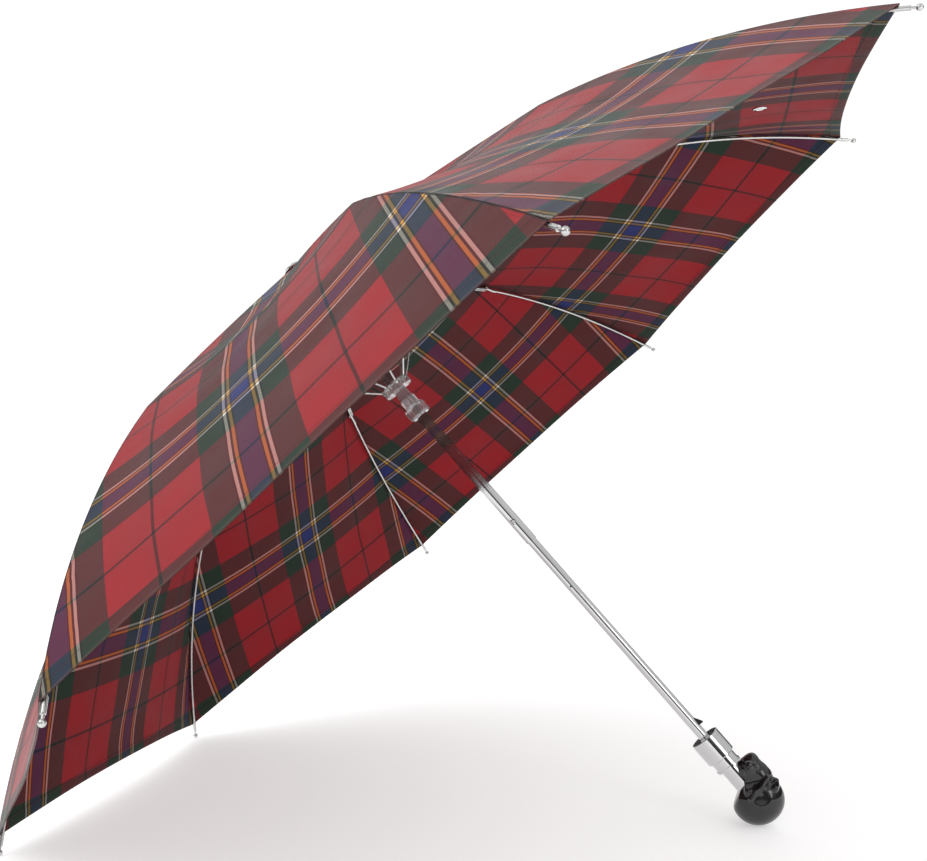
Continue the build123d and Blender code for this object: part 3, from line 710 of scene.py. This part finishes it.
def skull_surface(p):
    """How far each point lies outside the bone."""
    folded = p * [1, 0, 1] + np.abs(p) * [0, 1, 0]       # left and right are alike
    bone = ellipsoid(p, *BRAIN_CASE)
    underside = (p - BASE_POINT) @ np.array(BASE_WAY)
    bone = -joined(-bone, -underside, BASE_SOFT)
    for centre, radii, soft in JAWS:
        bone = joined(bone, ellipsoid(p, centre, radii), soft)
    for start, end, radius, soft in BARS:
        bone = joined(bone, bar(folded, start, end, radius), soft)
    for centre, radii, soft in HOLLOWS:
        bone = scooped(bone, ellipsoid(folded, centre, radii), soft)
    # teeth: a line between the rows, and a groove between each two
    front = np.clip((p[:, 0] - TEETH_START) / TEETH_EASE, 0, 1)
    round_jaw = np.arctan2(p[:, 1], p[:, 0] - JAW_TURN_CENTRE) * JAW_TURN_R
    between = np.abs((round_jaw / TOOTH_WIDE) % 1 - 0.5) * TOOTH_WIDE
    row = np.clip(1 - np.abs(p[:, 2] - MOUTH_LEVEL) / TEETH_HALF_HIGH, 0, 1) ** 0.5
    grooves = GROOVE_DEEP * np.exp(-(between / TOOTH_GROOVE) ** 2) * row
    mouth = MOUTH_DEEP * np.exp(-((p[:, 2] - MOUTH_LEVEL) / MOUTH_HALF_WIDE) ** 2)
    return bone + front * np.maximum(grooves, mouth)


print("bone at the crown is", round(20.5 + float(-skull_surface(np.array([[0, 0, 20.5]]))[0]), 1), "mm up")

# %% Lacquer and skull mesh
BALL_CUTS = 7                    # how often the starting ball's faces are divided
OUTERMOST, INNERMOST = 42.0, 3.0
SHRINK_STEPS, SHRINK_SHARE = 70, 0.7


def black_lacquer():
    material, tree, shader = new_material("black_lacquer")
    mottle, fine = speckle(tree, 160.0, 3.0), speckle(tree, 1500.0, 2.0)
    tree.links.new(mixed(tree, spread(tree, mottle, 0.4, 0.7, 0, 1), (0.008, 0.008, 0.009, 1),
                         (0.020, 0.019, 0.019, 1)), shader.inputs["Base Color"])
    tree.links.new(spread(tree, mottle, 0.3, 0.7, 0.07, 0.13), shader.inputs["Roughness"])
    raised(tree, shader, fine, 0.03, 0.0001)
    shader.inputs["Coat Weight"].default_value = 0.25
    shader.inputs["Coat Roughness"].default_value = 0.05
    return material


def build_skull():
    ball = bmesh.new()
    bmesh.ops.create_icosphere(ball, subdivisions=BALL_CUTS, radius=1.0)
    ways = np.array([v.co[:] for v in ball.verts])
    ways /= np.linalg.norm(ways, axis=1, keepdims=True)
    faces = [[v.index for v in f.verts] for f in ball.faces]
    ball.free()
    reach = np.full(len(ways), OUTERMOST)
    for _ in range(SHRINK_STEPS):
        closer = reach - SHRINK_SHARE * skull_surface(ways * reach[:, None])
        reach = np.clip(closer, INNERMOST, OUTERMOST)
    p = ways * reach[:, None] / 1000
    points = in_room(np.stack([-p[:, 0], -p[:, 1], p[:, 2] + KNOB_ALONG], -1))
    skull = add_mesh("skull", points, faces, [black_lacquer()])
    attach(skull, "lower_shaft")
    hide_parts("skull_knob")
    return skull


print("skull", [round(d * 1000, 1) for d in build_skull().dimensions], "mm")

# %% [markdown]
# ## Studio: floor, light and camera
# The floor and the air round it are white. A white world gives the soft, even light, and one large softbox
# from the upper left shapes the satin outside. Polished metal only looks like metal when it has something
# dark to mirror, so reflections see a sky with a darker band, which the eye never meets directly.

# %% Floor
FLOOR_GREY, FLOOR_GLOW, FLOOR_REACH = 0.70, 0.46, 14.0


def build_floor():
    material, tree, shader = new_material("white_floor")
    shader.inputs["Base Color"].default_value = (FLOOR_GREY, FLOOR_GREY, FLOOR_GREY, 1)
    # a lit white sweep: part of its brightness comes from behind, so shadows stay pale
    shader.inputs["Emission Color"].default_value = (1, 1, 1, 1)
    shader.inputs["Emission Strength"].default_value = FLOOR_GLOW
    tree.links.new(spread(tree, speckle(tree, 4.0), 0.3, 0.7, 0.55, 0.65), shader.inputs["Roughness"])
    shader.inputs["Specular IOR Level"].default_value = 0.2
    corners = [(x * FLOOR_REACH, y * FLOOR_REACH, 0) for x, y in ((-1, -1), (1, -1), (1, 1), (-1, 1))]
    floor = add_mesh("floor", corners, [(0, 1, 2, 3)], [material])
    return floor


print("floor", build_floor().dimensions)

# %% World and lights
SKY_STRENGTH = 1.08
# grey of the sky that reflections see, from straight down at 0 to straight up at 1
SKY_BAND = [(0.0, 0.55), (0.44, 0.50), (0.50, 0.04), (0.60, 0.06), (0.68, 0.62), (1.0, 0.85)]
KEY_WATTS, FILL_WATTS = 12, 5


def build_world():
    world = bpy.data.worlds.new("white_studio")
    bpy.context.scene.world = world
    world.use_nodes = True
    tree = world.node_tree
    background = tree.nodes["Background"]
    sky = add_node(tree, "ShaderNodeSeparateXYZ")
    tree.links.new(add_node(tree, "ShaderNodeTexCoord").outputs["Generated"], sky.inputs[0])
    band = add_node(tree, "ShaderNodeValToRGB")
    for place, tone_and_painted_shade in SKY_BAND:
        ends = band.color_ramp.elements
        element = ends[0] if place == 0 else ends[-1] if place == 1 else ends.new(place)
        element.color = (tone_and_painted_shade, tone_and_painted_shade, tone_and_painted_shade, 1)
    tree.links.new(spread(tree, sky.outputs[2], -1, 1, 0, 1), band.inputs["Fac"])
    glossy = add_node(tree, "ShaderNodeLightPath").outputs["Is Glossy Ray"]
    tree.links.new(mixed(tree, glossy, (1, 1, 1, 1), band.outputs["Color"]), background.inputs["Color"])
    background.inputs["Strength"].default_value = SKY_STRENGTH


def softbox(name, place, target, size, power):
    light = bpy.data.lights.new(name, "AREA")
    light.shape, light.size, light.size_y, light.energy = "RECTANGLE", size[0], size[1], power
    obj = bpy.data.objects.new(name, light)
    bpy.context.scene.collection.objects.link(obj)
    obj.location = place
    obj.rotation_euler = (Vector(target) - Vector(place)).to_track_quat("-Z", "Y").to_euler()
    return obj


build_world()
softbox("key", (-1.4, -1.3, 1.9), (-0.1, 0, 0.35), (1.6, 1.6), KEY_WATTS)
softbox("handle_fill", (1.6, -1.2, 0.8), (0.2, 0, 0.2), (0.5, 0.9), FILL_WATTS)
bpy.context.scene.view_settings.view_transform = "Standard"

# %% Camera
CAMERA_PLACE = (0.2044, -1.0159, 0.3241)
YAW, PITCH, ROLL = 13.607, -1.397, -0.918       # degrees
SENSOR_MM, LENS_MM = 36.0, 47.116
SHIFT_X, SHIFT_Y = 0.0495, 0.0334


def build_camera():
    camera = bpy.data.cameras.new("camera")
    camera.sensor_width, camera.lens = SENSOR_MM, LENS_MM
    camera.shift_x, camera.shift_y = SHIFT_X, SHIFT_Y
    obj = bpy.data.objects.new("camera", camera)
    turn = (Matrix.Rotation(math.radians(YAW), 4, "Z") @ Matrix.Rotation(math.radians(90 + PITCH), 4, "X")
            @ Matrix.Rotation(math.radians(ROLL), 4, "Z"))
    obj.matrix_world = Matrix.Translation(CAMERA_PLACE) @ turn
    bpy.context.scene.collection.objects.link(obj)
    bpy.context.scene.camera = obj
    return camera


print("lens", build_camera().lens, "mm")

# %% [markdown]
# ## Metal finishes
# The tubes and collar are chrome plated and polished, the ribs are bright zinc-plated wire and channel,
# and the catches are blackened spring steel. All three are the same shader with a different grain: chrome
# has almost none, plated wire has a fine one along with dull spots, and blackened steel is nearly matt.

# %% Metal materials
def metal(name, colour, rough, grain, dull, depth):
    """Metal with a varied polish: rough is its range of roughness, grain the scale of its marks."""
    material, tree, shader = new_material(name)
    marks, patches = speckle(tree, grain, 4.0), speckle(tree, grain / 30, 2.0)
    duller = tuple(0.55 * c for c in colour[:3]) + (1,)
    tree.links.new(mixed(tree, spread(tree, patches, 0.45, 0.75, 0, dull), colour, duller),
                   shader.inputs["Base Color"])
    polish = calc(tree, "MAXIMUM", spread(tree, marks, 0.3, 0.7, *rough),
                  spread(tree, patches, 0.5, 0.8, rough[0], rough[1] + 0.05))
    tree.links.new(polish, shader.inputs["Roughness"])
    raised(tree, shader, marks, 0.08, depth)
    shader.inputs["Metallic"].default_value = 1.0
    return material


chrome = metal("polished_chrome", (0.64, 0.64, 0.65, 1), (0.04, 0.09), 900.0, 0.12, 0.0001)
plated = metal("zinc_plate", (0.62, 0.62, 0.61, 1), (0.20, 0.34), 1400.0, 0.35, 0.0001)
blackened = metal("blackened_steel", (0.035, 0.034, 0.036, 1), (0.35, 0.5), 1800.0, 0.3, 0.0001)
print("metals:", chrome.name, plated.name, blackened.name)
print("press stud", [round(d * 1000, 1) for d in build_stud(chrome).dimensions], "mm")

# %% [markdown]
# ## Clear runner and dark mouldings
# The runner is moulded in clear plastic, so the tube shows through it. Real mouldings are never perfectly
# clear: faint flow lines and a slight haze give the light something to catch.

# %% Plastic materials
def clear_plastic():
    material, tree, shader = new_material("clear_plastic")
    flow = speckle(tree, 260.0, 2.0)
    shader.inputs["Base Color"].default_value = (0.97, 0.97, 0.98, 1)
    tree.links.new(spread(tree, flow, 0.3, 0.7, 0.02, 0.09), shader.inputs["Roughness"])
    raised(tree, shader, flow, 0.12, 0.0002)
    shader.inputs["Transmission Weight"].default_value = 0.9
    shader.inputs["IOR"].default_value = 1.5
    return material


def moulded(name, colour, rough):
    material, tree, shader = new_material(name)
    mottle = speckle(tree, 1200.0, 3.0)
    paler = tuple(min(1, 1.6 * c + 0.01) for c in colour[:3]) + (1,)
    tree.links.new(mixed(tree, spread(tree, mottle, 0.3, 0.7, 0, 0.3), colour, paler),
                   shader.inputs["Base Color"])
    tree.links.new(spread(tree, mottle, 0.3, 0.7, *rough), shader.inputs["Roughness"])
    raised(tree, shader, mottle, 0.1, 0.0001)
    return material


runner_plastic = clear_plastic()
black_plastic = moulded("black_moulding", (0.02, 0.02, 0.02, 1), (0.3, 0.45))
print("plastics:", runner_plastic.name, black_plastic.name)

# %% Finish the metalwork
FINISH = {
    "upper_tube": chrome, "lower_tube": chrome, "top_cap": chrome, "collar_cup": chrome,
    "collar_ring": chrome, "neck_sleeve": chrome, "handle_stud": plated, "notch_wire": plated,
    "notch_pin": plated, "runner_wire": plated, "top_notch": black_plastic,
    "runner_body": runner_plastic, "upper_catch": blackened, "lower_catch": blackened,
    "link_button": plated,
}
for k in range(1, RIBS + 1):
    for piece in ("inner_rib", "outer_rib", "stretcher"):
        FINISH[f"{piece}_{k}"] = plated
for node, material in FINISH.items():
    mesh = frame["nodes"][node].data
    mesh.materials.clear()
    mesh.materials.append(material)
print(len(FINISH), "nodes finished")
